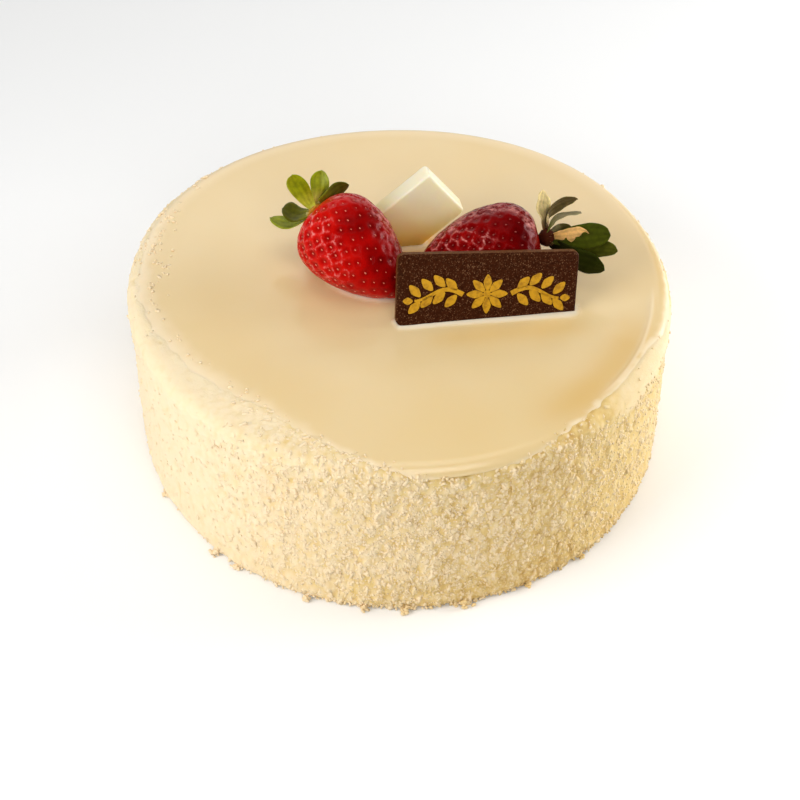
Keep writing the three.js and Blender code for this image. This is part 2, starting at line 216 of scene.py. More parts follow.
studio = {
    "left": {"place": (-560, -340, 430), "size": (520, 520), "power": 3.85},
    "right": {"place": (640, 140, 230), "size": (420, 300), "power": 3.6},
    "front": {"place": (100, -600, 480), "size": (460, 300), "power": 1.65},
    "back": {"place": (-60, 650, 470), "size": (900, 380), "power": 1.6},
    "over": {"place": (0, -40, 900), "size": (700, 600), "power": 2.15},
    "aim": (0, 0, 40),
    "world": 0.058,
    "floor": "#fbfbfa",
}


def lightStudio():
    scene = bpy.context.scene
    scene.view_settings.view_transform = "Standard"
    for name in ("left", "right", "front", "back", "over"):
        box = studio[name]
        data = bpy.data.lights.new(name, "AREA")
        data.shape = "RECTANGLE"
        data.size, data.size_y = (side * mm for side in box["size"])
        data.energy = box["power"]
        lamp = addObject(name, data)
        lamp.location = Vector(box["place"]) * mm
        aim = Vector(studio["aim"]) * mm - lamp.location
        lamp.rotation_euler = aim.to_track_quat("-Z", "Y").to_euler()
    world = bpy.data.worlds.new("studio")
    world.use_nodes = True
    world.node_tree.nodes["Background"].inputs["Color"].default_value = (1, 1, 1, 1)
    world.node_tree.nodes["Background"].inputs["Strength"].default_value = studio["world"]
    scene.world = world


def makeFloor():
    material = newMaterial("matt_paper", {
        "Base Color": linear(studio["floor"]), "Roughness": 0.9, "Specular IOR Level": 0.1})[0]
    shape = bmesh.new()
    bmesh.ops.create_grid(shape, x_segments=2, y_segments=2, size=4)
    mesh = bpy.data.meshes.new("floor")
    shape.to_mesh(mesh)
    shape.free()
    mesh.materials.append(material)
    floor = addObject("floor", mesh)
    floor.location.z = -0.0002


placeCamera()
lightStudio()
makeFloor()
print("camera, lights and floor placed")


# The cake's own unevenness, by the same rules as the solids

cake = {
    "radius": 99.2,
    "height": 70.5,  # to the top of the icing
    "footRound": 2.5,
    "flat": 0.72,  # share of the radius within which the top is a plane
    "slope": (-0.018, 0.018),
    "lean": (0.9, 1.1),
}
icing = {
    "thickness": 2.5,
    "shoulder": 5.0,
    "reach": 6.25,  # how far its edge hangs below the top
    "still": 1.9,
    "sagDepth": 0.9,
    "sagBearing": 0.35,
}
lip = {"height": 0.7, "radius": 92.4, "width": 0.9, "from": 321, "to": 350}  # ends are bearings
gap = 0.36  # that the solids leave between pieces
rimLength = cake["height"] - icing["shoulder"]  # up the side to where the shoulder starts
shoulderLength = icing["shoulder"] * math.pi / 2


def planSwell(angle, share):
    swell = 1.9 * np.cos(2 * angle) + 0.75 * np.sin(3 * angle) - 0.35 * np.cos(3 * angle)
    swell -= 0.6 * np.cos(4 * angle) + 0.4 * np.sin(4 * angle)
    foot = 0.4 + 0.75 * np.cos(angle) + 1.4 * np.sin(3 * angle)
    return swell + foot * (1 - share)


def settle(points):  # from the true round cake to this one
    x, y, z = points.T
    angle, radius = np.arctan2(y, x), np.hypot(x, y)
    share = z / cake["height"]
    edge = cake["height"] - icing["reach"]
    rim = cake["height"] - icing["still"]
    hung = edge - 0.8 * np.sin(angle) - 0.25 * np.sin(3 * angle + 1) - 0.2 * np.sin(7 * angle)
    drawn = hung + (z - edge) * (rim - hung) / (rim - edge)
    height = np.where(z <= edge, z * hung / edge, np.where(z < rim, drawn, z))
    outward = smoothStep(radius / cake["radius"], cake["flat"], 1)
    leftward = np.maximum(0, -np.cos(angle - icing["sagBearing"]))
    height = height - icing["sagDepth"] * outward * leftward * share
    scale = 1 + planSwell(angle, share) / cake["radius"] * np.minimum(1, radius / cake["radius"])
    x = x * scale + cake["lean"][0] * share
    y = y * scale + cake["lean"][1] * share
    height = height + (cake["slope"][0] * x + cake["slope"][1] * y) * share
    return np.stack([x, y, height], 1)


def topAt(x, y):  # the level top of the icing
    return cake["height"] + cake["slope"][0] * x + cake["slope"][1] * y


def alongLip(angle):  # 1 where the icing's edge stands up as a lip, else 0
    turn = np.degrees(angle) % 360
    return window(turn, lip["from"] - 6, lip["from"] + 4, lip["to"], lip["to"] + 9)


def outlineAt(path):
    # a place and its outward direction, as (radius, height), at a length along the outline that
    # goes up the side, round the shoulder and in over the top
    bend = np.clip((path - rimLength) / icing["shoulder"], 0, math.pi / 2)
    inward = np.maximum(0, path - rimLength - shoulderLength)
    low = np.minimum(path, rimLength)
    radius = cake["radius"] - icing["shoulder"] * (1 - np.cos(bend)) - inward
    height = low + icing["shoulder"] * np.sin(bend)
    return radius, height, np.cos(bend), np.sin(bend)


# The grated chocolate round the cake: the bearing in degrees, how far up the outline it is dense
# and where its last crumbs lie, how rugged it is, how pale with painted light by side (palest on
# the lit left, darkest on the shaded front right), and how crumbly over the rim.
coatSides = [
    (0, 69.5, 71, 0.25, 0.50, 0.15), (30, 67.5, 69.5, 0.5, 0.52, 0.5),
    (90, 66, 68.5, 0.6, 0.56, 0.6), (140, 68, 73, 0.4, 0.62, 0.8),
    (162, 74, 81.5, 0.2, 0.66, 0.9), (176, 75.5, 86, 0.12, 0.68, 0.9),
    (190, 76.5, 89, 0.1, 0.7, 0.5), (205, 81, 88.5, 0.1, 0.7, 0.06),
    (223, 84.5, 88.5, 0.14, 0.68, 0.1), (236, 86, 90.5, 0.3, 0.63, 0.35),
    (254, 78.5, 83, 0.65, 0.56, 0.7), (266, 71, 74.5, 0.9, 0.5, 0.9),
    (276, 66, 68.5, 1, 0.46, 1), (284, 64.2, 67, 1, 0.43, 1),
    (294, 66.5, 69.5, 1, 0.37, 1), (305, 71.5, 74.5, 0.9, 0.33, 0.6),
    (317, 74.3, 75.6, 0.6, 0.33, 0.1), (329, 74.6, 75.8, 0.38, 0.35, 0.04),
    (337, 74, 75.2, 0.3, 0.38, 0.04), (344, 71.6, 73.2, 0.22, 0.41, 0.04),
    (354, 70.3, 72, 0.22, 0.48, 0.1),
]


def coatAt(angle, *wanted):
    names = ("bearing", "dense", "last", "rugged", "toneAndLight", "crumbly")
    sides = dict(zip(names, np.array(coatSides).T))
    turn = np.degrees(angle) % 360
    return [np.interp(turn, sides["bearing"], sides[name], period=360) for name in wanted]


# Body with its coat of grated white chocolate

coat = {
    "steps": 880,  # round the cake
    "rows": 96,
    "reach": 92,  # up the outline, past its last crumbs
    "under": 50,  # radius of a ring on its flat underside
    "crag": {"high": 0.8, "wide": 9},
    "granule": {"high": 1.05, "wide": 2.3},  # nearly twice as tall up the side
    "grit": {"high": 0.25, "wide": 0.9},
    "pit": {"high": 0.22, "wide": 2.6},
    "band": {"from": 57, "full": 64, "thick": 0.45, "rows": 44, "under": 0.7, "fade": 3.5},
    "pale": "#f6e0ba",
    "cream": "#e6c784",
    "ochre": "#cb9f52",
}


def coatMaterial(name, glow):
    # grated white chocolate: matt and soft, with painted shade making the gaps between its grains
    # warmer and darker
    material, shader, add, place = newMaterial(name, {
        "Roughness": 0.75, "Specular IOR Level": 0.2, "Subsurface Weight": glow,
        "Subsurface Radius": (1.0, 0.85, 0.55), "Subsurface Scale": 0.0015})
    tint = add("Attribute", {"attribute_name": "tint"})
    # warmer and paler patches 10 mm wide
    patches = add("TexNoise", {"Scale": 100, "Detail": 4, "Roughness": 0.65}, place)
    mixed = add("Math", {"operation": "MULTIPLY_ADD", 1: 0.2}, {0: patches, 2: tint.outputs["Fac"]})
    colour = add("ValToRGB", {"stops": [
        (0.1, coat["ochre"]), (0.42, coat["cream"]), (0.78, coat["pale"])]}, {"Fac": mixed})
    grain = add("TexNoise", {"Scale": 1100, "Detail": 4, "Roughness": 0.6}, place)
    bump = add("Bump", {"Strength": 0.5, "Distance": 0.0004}, {"Height": grain})
    link(shader, {"Base Color": colour, "Normal": bump})
    return material


def cells(points, size, seed=0.0):  # domes of a few sizes side by side, from 0 to 1
    shift = Vector((seed, 0.6 * seed, 1.3 * seed))
    near = [noise.voronoi(Vector(p) / size + shift)[0][0] for p in points]
    return np.clip(1 - np.array(near), 0, 1)


def coatRelief(points, angle):
    # how far the coat stands out at each point, and its painted shade there: paler on the grains,
    # darker in the gaps and pits
    rugged, = coatAt(angle, "rugged")
    crag, granule, grit, pit = (coat[name] for name in ("crag", "granule", "grit", "pit"))
    lumps = waver(points, crag["wide"], 3) + 0.6 * waver(points, crag["wide"] / 2, 7)
    grains = cells(points * (1, 1, 0.55), granule["wide"], 1) - 0.5
    fine = waver(points, grit["wide"], 11)
    pits = smoothStep(waver(points * (1, 1, 0.5), pit["wide"], 15), 0.43, 0.6)
    relief = crag["high"] * (0.55 + 0.45 * rugged) * lumps - pit["high"] * pits
    relief += (0.2 + 0.8 * rugged) * (granule["high"] * grains + grit["high"] * fine)
    return relief, (0.16 + 0.36 * rugged) * grains - 0.12 * pits


def coatTint(points, angle, shade):  # painted shade: the gaps between grains ochre, their tops pale, darker towards the foot, and each side's painted light
    rugged, toneAndLight = coatAt(angle, "rugged", "toneAndLight")
    return toneAndLight - 0.12 * rugged * (1 - smoothStep(points[:, 2], 3, 26)) + shade


def makeBody(material):
    ledge = cake["height"] - icing["reach"] - gap
    foot = cake["footRound"]
    bend = np.linspace(0, math.pi / 2, 4)
    outline = [(0, 0), (coat["under"], 0)]
    outline += [(cake["radius"] - foot + foot * math.sin(t), foot - foot * math.cos(t)) for t in bend]
    outline += [(cake["radius"], z) for z in np.linspace(foot, ledge, coat["rows"])[1:]]
    under = cake["height"] - icing["thickness"] - gap
    outline += [(cake["radius"] - icing["thickness"] - 0.4, ledge),
                (cake["radius"] - icing["shoulder"], under), (0, under)]
    mesh = meshFrom(spun(outline, coat["steps"]), "coated_body")
    flat = meshPoints(mesh)
    angle, radius = polar(flat)
    points = settle(flat)
    onSide = smoothStep(radius, cake["radius"] - 2, cake["radius"] - 0.5)
    onSide *= smoothStep(flat[:, 2], 0, 1.5) * (1 - smoothStep(flat[:, 2], ledge - 1.2, ledge))
    relief, shade = coatRelief(points, angle)
    relief *= onSide
    points[:, 0] += relief * np.cos(angle)
    points[:, 1] += relief * np.sin(angle)
    points[:, 2] = np.maximum(points[:, 2], 0)
    setPoints(mesh, points)
    addAttribute(mesh, "tint", coatTint(points, angle, shade))
    finishPiece(mesh, material, ["cake"])


def makeCoatBand(material):
    # the coat where it laps over the edge of the icing, thinning out to nothing
    band = coat["band"]
    rows = band["rows"]
    mesh = meshFrom(spun([(1, i) for i in range(2 * rows)], coat["steps"]), "coat_band")
    flat = meshPoints(mesh)
    angle = np.arctan2(flat[:, 1], flat[:, 0])
    inner = flat[:, 2] > rows - 0.5
    share = np.where(inner, 2 * rows - 1 - flat[:, 2], flat[:, 2]) / (rows - 1)
    dense, rugged = coatAt(angle, "dense", "rugged")
    ring = around(1, angle, 0 * angle) * 100
    edge = dense + 0.8 + (1.3 - alongLip(angle)) * waver(ring, 4, 3)
    path = band["from"] + share * (edge - band["from"])
    radius, height, level, steep = outlineAt(path)
    points = settle(around(radius, angle, height))
    relief, shade = coatRelief(points, angle)
    soft = smoothStep(0.3 - rugged, 0, 0.15)  # where it thins out slowly
    ends = smoothStep(share, 0, 0.15) * (1 - smoothStep(path, edge - band["fade"] - 5 * soft, edge))
    byLip = smoothStep(path, band["from"], band["full"]) * alongLip(angle)  # smoother, and paler as a painted highlight
    relief *= 1 - 0.9 * byLip
    thick = (band["thick"] + 0.8 * relief) * ends - 0.5 * (1 - ends)
    thick = np.where(inner, np.minimum(thick, 0) - band["under"], thick)
    outward = around(level, angle, steep)
    points = points + outward * thick[:, None]
    setPoints(mesh, points)
    shade = shade - (0.12 + 0.1 * soft) * smoothStep(path, edge - 6, edge)
    # painted highlight: paler along the lip
    shade += (0.2 - 0.8 * shade) * byLip
    addAttribute(mesh, "tint", coatTint(points, angle, shade))
    finishPiece(mesh, material)


coatFinish = coatMaterial("packed_white_chocolate", 0.4)
crumbFinish = coatMaterial("grated_white_chocolate", 0)
makeBody(coatFinish)
makeCoatBand(coatFinish)
print("body done")


# Icing poured over the top

pour = {
    "steps": 360,
    "rings": 104,
    "ripple": 0.16,
    "meniscus": {"height": 0.75, "width": 1.1},
    "colour": "#e8cf9e",
    "warm": "#e5c88e",
    # golden painted shade, also used for a painted reflection
    "gold": "#dcb468",
    "juice": "#e2a58a",
    "wet": "#dedbd2",  # glossy round whatever stands on it, with a pale painted reflection there
    # the coat's colour, also painted as a highlight on the lip's crest and as light on the far rim
    "coated": coat["pale"],
    # stretches of bearing: where each begins, is full, fades and ends
    "frayed": (165, 195, 240, 265),  # the coat thins out slowly over it
    "litFarRim": (5, 50, 180, 200),  # painted light: paler there, in the coat's colour
    # painted shade in the trough inside the lip
    "shadeInsideLip": (296, 316, 336, 354),
    "mirrored": (4, 22, 62, 74),  # along the plaque's foot, in mm: its painted reflection
    "shadedGap": {"centre": (6, 9), "half": (7, 9)},  # golden painted shade between the toppings
    "stained": {"centre": (-12, -12), "full": 11, "ends": 16},  # by juice
}


def icingMaterial():
    # poured white ganache: an even satin gloss, with the light going a little way in
    material, shader, add, place = newMaterial("poured_white_ganache", {
        "Roughness": 0.28, "Specular IOR Level": 0.5, "Coat Weight": 0.25, "Coat Roughness": 0.12,
        "Subsurface Weight": 0.3, "Subsurface Radius": (1.0, 0.8, 0.6), "Subsurface Scale": 0.002})
    clouds = add("TexNoise", {"Scale": 16, "Detail": 2, "Roughness": 0.5}, place)
    plain = add("ValToRGB", {"stops": [
        (0.3, pour["colour"]), (0.75, pour["warm"])]}, {"Fac": clouds})
    colour, marked = plain, {}
    # laid over it: golden painted shade and reflection, juice, a pale painted reflection round the
    # feet, and the coat's colour with painted highlight and light
    for name in ("gold", "juice", "wet", "coated"):
        mark = add("Attribute", {"attribute_name": name})
        marked[name] = mark.outputs["Fac"]
        mix = add("Mix", {"data_type": "RGBA", 7: linear(pour[name])}, {0: marked[name], 6: colour})
        colour = mix.outputs[2]
    dull = add("MapRange", {"To Min": 0.28, "To Max": 0.8}, {"Value": marked["coated"]})
    rough = add("Math", {"operation": "MULTIPLY_ADD", 1: -0.17}, {0: marked["wet"], 2: dull})
    grain = add("TexNoise", {"Scale": 260, "Detail": 3, "Roughness": 0.5}, place)
    bump = add("Bump", {"Strength": 0.12, "Distance": 0.0003}, {"Height": grain})
    link(shader, {"Base Color": colour, "Roughness": rough, "Normal": bump})
    return material


# Strawberries

berries = {
    "left": {
        "length": 46.4, "radius": 17, "tip": (2.4, -12, 73.6), "bearing": 143, "rise": 24.5,
        "neck": 1.4, "deep": "#5a0102", "flesh": "#a80705", "bright": "#d9160c",
        "frost": "#e79a95", "pips": ("#a01a10", "#dc7862"),
        "highlighted": [(-0.1, 0.44, 0.9), (0.4, 0.35, 0.85), (0.75, 0.13, 0.64), (0.93, -0.19, 0.31)],
    },
    "right": {
        "length": 47.4, "radius": 16.2, "tip": (7.3, 1.3, 76.5), "bearing": 6, "rise": 10.7,
        "neck": 3.2, "deep": "#3c0001", "flesh": "#6c0203", "bright": "#960a08",
        "frost": "#e89a90", "pips": ("#5a0808", "#8c3a30"),
        "highlighted": [(-0.6, 0.23, 0.75), (-0.2, 0.3, 0.9), (0.1, 0.33, 0.93), (0.45, 0.15, 0.85),
                    (0.65, 0.05, 0.75)],
    },
}
berrySkin = {
    "steps": 240,
    "rows": 150,
    "belly": 0.64,
    "tipFull": (1.7, 0.72),
    "crownFull": (2.8, 0.6),
    "leafSeat": (2.4, 6.0),
    "seeds": 240,
    "dimple": 0.5,
    "dimpleWidth": 0.9,
    "hills": {"high": 0.16, "wide": 5},
    "grain": {"high": 0.05, "wide": 1.6},
    "pitted": (-0.72, -0.55, 0.35),  # the lit side, with the deepest dimples, a painted highlight on its ridges and paler pips
    "shaded": (0.85, -0.35, 0.3),  # the side in shade, painted darkest
    "seed": (0.55, 0.9, 0.4),
}


def berryRadius(share, berry):
    belly = berrySkin["belly"]
    low = np.clip(1 - share / belly, 0, 1)
    high = np.clip((share - belly) / (1 - belly), 0, 1)
    first, second = berrySkin["tipFull"]
    blunt = (1 - low ** first) ** second
    first, second = berrySkin["crownFull"]
    return berry["radius"] * np.where(share < belly, blunt, (1 - high ** first) ** second)


def berryShape(points, berry):  # its slight lobes, and the dip where the leaves sit
    angle, radius = polar(points)
    lobes = 1 + 0.035 * np.sin(2 * angle + 0.6) + 0.02 * np.sin(3 * angle + 2)
    points = points * np.stack([lobes, lobes, np.ones_like(lobes)], 1)
    depth, width = berrySkin["leafSeat"]
    dip = depth * bell(radius, 0, width)
    points[:, 2] -= np.where(points[:, 2] > berry["length"] / 2, dip, 0)
    return points


def berryPose(berry):
    bearing, rise = math.radians(berry["bearing"]), math.radians(berry["rise"])
    axis = Vector((math.cos(rise) * math.cos(bearing), math.cos(rise) * math.sin(bearing),
                   math.sin(rise)))
    across = Vector((0, 0, 1)).cross(axis).normalized()
    over = axis.cross(across)
    turn = Matrix((across, over, axis)).transposed().to_4x4()
    return Matrix.Translation(berry["tip"]) @ turn


def moved(points, pose):
    pose = np.array(pose)
    return points @ pose[:3, :3].T + pose[:3, 3]


def berrySurface(share, angle, berry):  # places and outward directions on the smooth skin
    radius = berryRadius(share, berry)
    step = 0.01
    fall = berryRadius(share + step, berry) - berryRadius(share - step, berry)
    places = around(radius, angle, share * berry["length"])
    outward = around(1, angle, -fall / (2 * step * berry["length"]))
    return berryShape(places, berry), units(outward)


def seedPlaces(berry, random):
    index = np.arange(berrySkin["seeds"])
    share = 0.05 + 0.88 * ((index + 0.5) / len(index)) ** 0.8
    share = share + random.uniform(-0.006, 0.006, len(index))
    angle = index * goldenAngle + random.uniform(-0.06, 0.06, len(index))
    return berrySurface(share, angle, berry)


def berryMaterial(name, berry):
    # ripe strawberry: moist skin over deep red flesh that glows where it is thin, painted shade on
    # its shaded side and in its dimples, and a pale painted highlight along its upper edges and on
    # the ridges between the pips
    material, shader, add, place = newMaterial(name, {
        "Specular IOR Level": 0.28, "Specular Tint": linear("#a00c06"), "Coat Weight": 0.03,
        "Coat Roughness": 0.06, "Subsurface Weight": 0.15,
        "Subsurface Radius": (1.0, 0.1, 0.05), "Subsurface Scale": 0.003})
    ripe = add("Attribute", {"attribute_name": "ripe"})
    blotch = add("TexNoise", {"Scale": 140, "Detail": 3, "Roughness": 0.6}, place)
    mixed = add("Math", {"operation": "MULTIPLY_ADD", 1: 0.3}, {0: blotch, 2: ripe.outputs["Fac"]})
    colour = add("ValToRGB", {"stops": [
        (0.12, berry["deep"]), (0.5, berry["flesh"]), (0.95, berry["bright"])]},
        {"Fac": mixed})
    frost = add("Attribute", {"attribute_name": "frost"})
    patch = add("TexNoise", {"Scale": 420, "Detail": 4, "Roughness": 0.65}, place)
    broken = add("MapRange", {"From Min": 0.47, "From Max": 0.66}, {"Value": patch})
    share = add("Math", {"operation": "MULTIPLY"}, {0: broken, 1: frost.outputs["Fac"]})
    highlighted = add("Mix", {"data_type": "RGBA", 7: linear(berry["frost"])}, {0: share, 6: colour})
    rough = add("MapRange", {"To Min": 0.27, "To Max": 0.6}, {"Value": share})
    skin = add("TexNoise", {"Scale": 900, "Detail": 3, "Roughness": 0.6}, place)
    bump = add("Bump", {"Strength": 0.25, "Distance": 0.0003}, {"Height": skin})
    link(shader, {"Base Color": highlighted.outputs[2], "Roughness": rough, "Normal": bump})
    return material


def pipMaterial(name, berry):
    # strawberry pips: dry and straw yellow, reddened by the flesh under them
    material, shader, add, place = newMaterial(name, {
        "Roughness": 0.6, "Specular IOR Level": 0.2})
    blotch = add("TexNoise", {"Scale": 160, "Detail": 2}, place)
    # painted light and shade: paler on the berry's lit side, darker on its shaded side
    light = add("Attribute", {"attribute_name": "light"})
    mixed = add("Math", {"operation": "MULTIPLY_ADD", 1: 0.3}, {0: blotch, 2: light.outputs["Fac"]})
    colour = add("ValToRGB", {"stops": list(zip((0.2, 0.9), berry["pips"]))}, {"Fac": mixed})
    link(shader, {"Base Color": colour})
    return material


def template(kind):  # points and triangles of a small shape one unit long
    shape = bmesh.new()
    if kind == "pip":
        bmesh.ops.create_uvsphere(shape, u_segments=8, v_segments=5, radius=0.5)
    elif kind == "crumb":
        bmesh.ops.create_icosphere(shape, subdivisions=1, radius=0.5)
    else:
        bmesh.ops.create_cube(shape, size=1)
    bmesh.ops.triangulate(shape, faces=shape.faces)
    shape.verts.index_update()
    points = np.array([v.co for v in shape.verts])
    corners = np.array([[v.index for v in f.verts] for f in shape.faces])
    shape.free()
    return points, corners


def joined(name, shape, places, turns, sizes, crook=0, random=None):
    # one mesh of many copies, each with its own size and turn, its corners moved a little
    points, corners = shape
    copies = points[None] * sizes[:, None, :]
    if crook:
        copies = copies * random.uniform(1 - crook, 1 + crook, copies.shape)
    copies = np.einsum("kij,knj->kni", turns, copies) + places[:, None, :]
    faces = corners[None] + np.arange(len(places))[:, None, None] * len(points)
    mesh = bpy.data.meshes.new(name)
    mesh.from_pydata(copies.reshape(-1, 3).tolist(), [], faces.reshape(-1, 3).tolist())
    return mesh


def framesFrom(outward, spin):  # turns whose last column is the outward direction
    helper = np.where(np.abs(outward[:, 2:]) < 0.9, np.array([[0.0, 0, 1]]), np.array([[1.0, 0, 0]]))
    side = units(np.cross(helper, outward))
    up = np.cross(outward, side)
    c, s = np.cos(spin)[:, None], np.sin(spin)[:, None]
    return np.stack([side * c + up * s, up * c - side * s, outward], 2)


lowPoints = []  # of all that stands on the icing


def standOnIcing(mesh, points):  # sunk in no further than shows
    surface = topAt(points[:, 0], points[:, 1])
    points[:, 2] = np.maximum(points[:, 2], surface + 0.12)
    setPoints(mesh, points)
    lowPoints.extend(points[points[:, 2] - surface < 0.9])


def makeBerry(side):
    berry = berries[side]
    random = np.random.default_rng(5 if side == "left" else 6)
    share = (1 - np.cos(np.linspace(0, math.pi, berrySkin["rows"]))) / 2
    radius = berryRadius(share, berry)
    radius[0] = radius[-1] = 0
    outline = list(zip(radius, share * berry["length"]))
    mesh = meshFrom(spun(outline, berrySkin["steps"]), f"berry_{side}")
    flat = meshPoints(mesh)
    share = np.clip(flat[:, 2] / berry["length"], 0.012, 0.988)
    angle = np.arctan2(flat[:, 1], flat[:, 0])
    outward = berrySurface(share, angle, berry)[1]
    points = berryShape(flat, berry)
    places, facing = seedPlaces(berry, random)
    pose = berryPose(berry)
    turn = np.array(pose)[:3, :3]
    tree = treeOf(places)
    near, second = np.array([[found[2] for found in tree.find_n(p, 2)] for p in points]).T
    ridge = 1 - smoothStep(second - near, 0.25, 0.7)  # midway between two pips
    world = outward @ turn.T
    shaded = world @ unit(berrySkin["shaded"])
    pitted = smoothStep(world @ unit(berrySkin["pitted"]), 0.5, 0.9)
    pit = (0.3 + 0.7 * pitted) * bell(near, 0, berrySkin["dimpleWidth"])
    swell = (0.1 + 0.16 * pitted) * smoothStep(near, 0.8, 2.2) + 0.12 * pitted * ridge
    hills, grain = berrySkin["hills"], berrySkin["grain"]
    swell += hills["high"] * waver(points, hills["wide"], 2)
    swell += grain["high"] * waver(points, grain["wide"], 8)
    points = points + outward * (swell - berrySkin["dimple"] * pit)[:, None]
    # painted light and shade: paler on the swellings, darker in the dimples and on the shaded side;
    # paler towards the crown
    ripe = 0.45 + 0.6 * swell - 0.16 * pit + 0.12 * waver(points, 9, 4)
    ripe += 0.35 * smoothStep(share, 0.86, 1.0) - 0.3 * smoothStep(shaded, 0.0, 0.9)
    towardHighlight = [world @ unit(way) for way in berry["highlighted"]]
    frost = 0.7 * smoothStep(np.max(towardHighlight, axis=0), 0.93, 0.985) * (1 - 0.6 * pit)
    frost = np.maximum(frost, 0.8 * smoothStep(pitted, 0.4, 0.9) * ridge * smoothStep(near, 1.0, 1.4))
    standOnIcing(mesh, moved(points, pose))
    addAttribute(mesh, "ripe", ripe)
    addAttribute(mesh, "frost", frost)
    finish = berryMaterial(f"ripe_strawberry_{side}", berry)
    finishPiece(mesh, finish, [f"strawberry_{side}"])

    places = moved(places - facing * 0.22, pose)
    facing = facing @ turn.T
    clear = places[:, 2] > topAt(places[:, 0], places[:, 1]) + 0.8
    places, facing = places[clear], facing[clear]
    axis = np.tile(np.array(pose)[:3, 2], (len(places), 1))
    along = units(axis - facing * np.sum(axis * facing, 1)[:, None])
    turns = np.stack([np.cross(along, facing), along, facing], 2)
    points, corners = template("pip")
    points[:, 0] *= 1 - 0.5 * points[:, 1]  # drawn to a point
    sizes = np.array(berrySkin["seed"]) * random.uniform(0.85, 1.12, (len(places), 1))
    seeds = joined(f"pips_{side}", (points, corners), places, turns, sizes)
    # how lit each pip is, painted as paler colour
    light = facing @ unit(berrySkin["pitted"])
    addAttribute(seeds, "light", np.repeat(smoothStep(light, -0.5, 0.7), len(points)))
    finishPiece(seeds, pipMaterial(f"berry_pip_{side}", berry))


makeBerry("left")
makeBerry("right")
print("strawberries done")


# Leaves

leafSheets = {"along": 26, "across": 12, "thickness": 0.5, "inset": 1.2, "bossRadius": 3.4,
              "base": 0.3, "widest": 0.6, "blunt": 0.985, "round": 2.6}
crowns = {
    # each leaf: bearing round the berry's axis, length, width, lift, curl, twist, crumple, and
    # the colours of its foot and its end
    "left": [
        (-19, 16.6, 7.7, 55, -7, 48, 0.0, "#b9bb3c", "#868a0c"),
        (36, 14.2, 8.6, 20, 11, 28, 0.0, "#c6c760", "#83880e"),
        (60, 15, 6.8, 4, -14, 26, 0.1, "#9fa224", "#4f4d12"),
        (112, 11.5, 6.8, 2, 14, 0, 0.1, "#9a9c1e", "#6b6d0c"),
        (158, 10.5, 6.4, 2, 12, 0, 0.1, "#9a9c1e", "#6b6d0c"),
        # darker greens: a painted shade
        (223, 11.5, 9, 26, 31, 45, 0.1, "#6f6d0e", "#4c4a08"),
        (212, 17, 8.4, -4, 46, 21, 0.1, "#a9ab2c", "#8b9012"),
    ],
    "right": [
        (-45, 16.5, 8, -4, 11, 33, 0.7, "#6b3d20", "#d9c184"),
        (-62, 18, 9.4, -16, 66, 0, 0.6, "#463a20", "#62532f"),
        (-20, 15, 9, 10, 58, 10, 0.6, "#66702a", "#7c7250"),
        (66, 15.8, 6, 62, 8, 0, 1.1, "#c99a55", "#d8a866"),
        (74, 23.6, 9, 66, 4, 28, 0.4, "#33380c", "#3b4109"),
        (110, 26, 7.2, 62, 4, 34, 0.4, "#26280a", "#44460f"),
        (121, 23.7, 8.2, 36, 12, 42, 0.3, "#0f0d04", "#262b07"),
        (180, 11, 6.5, 30, 20, 0, 0.5, "#3c3416", "#5b5128"),
        (236, 12, 7, 35, 20, 0, 0.5, "#3c3416", "#5b5128"),
    ],
}
crownLooks = {
    "left": {"name": "fresh_sepal", "slot": "fresh_leaf", "boss": "#b9822a", "hair": "#d8c98a",
             "sheen": 0.42, "gloss": "#b4bd4a"},
    "right": {"name": "withered_sepal", "slot": "dried_leaf", "boss": "#4a1c10", "hair": "#8a6a45",
              "sheen": 0.6, "gloss": "#6a6238"},
}


def leafMaterial(look):
    # a strawberry's sepals: thin, veined, a waxy sheen when fresh and dull once withered
    material, shader, add, place = newMaterial(look["name"], {
        "Roughness": look["sheen"], "Specular IOR Level": 0.4,
        "Specular Tint": linear(look["gloss"]), "Subsurface Weight": 0.2,
        "Subsurface Radius": (0.6, 1.0, 0.2), "Subsurface Scale": 0.0008})
    hue = add("Attribute", {"attribute_name": "hue"})
    blotch = add("TexNoise", {"Scale": 420, "Detail": 4, "Roughness": 0.65}, place)
    shade = add("MapRange", {"From Min": 0.3, "From Max": 0.7, "To Min": 0.7,
                                                 "To Max": 1.25}, {"Value": blotch})
    mottled = add("VectorMath", {"operation": "SCALE"}, {0: hue.outputs["Color"], 3: shade})
    bump = add("Bump", {"Strength": 0.4, "Distance": 0.0003}, {"Height": blotch})
    link(shader, {"Base Color": mottled, "Normal": bump})
    return material


def leafHalf(share, width):
    base, widest = leafSheets["base"], leafSheets["widest"]
    growing = base + (1 - base) * np.sin(math.pi / 2 * np.minimum(share / widest, 1))
    past = np.clip((share - widest) / (1 - widest), 0, 1)
    narrowing = np.sqrt(1 - leafSheets["blunt"] * past ** leafSheets["round"])
    return width * np.where(share < widest, growing, narrowing)


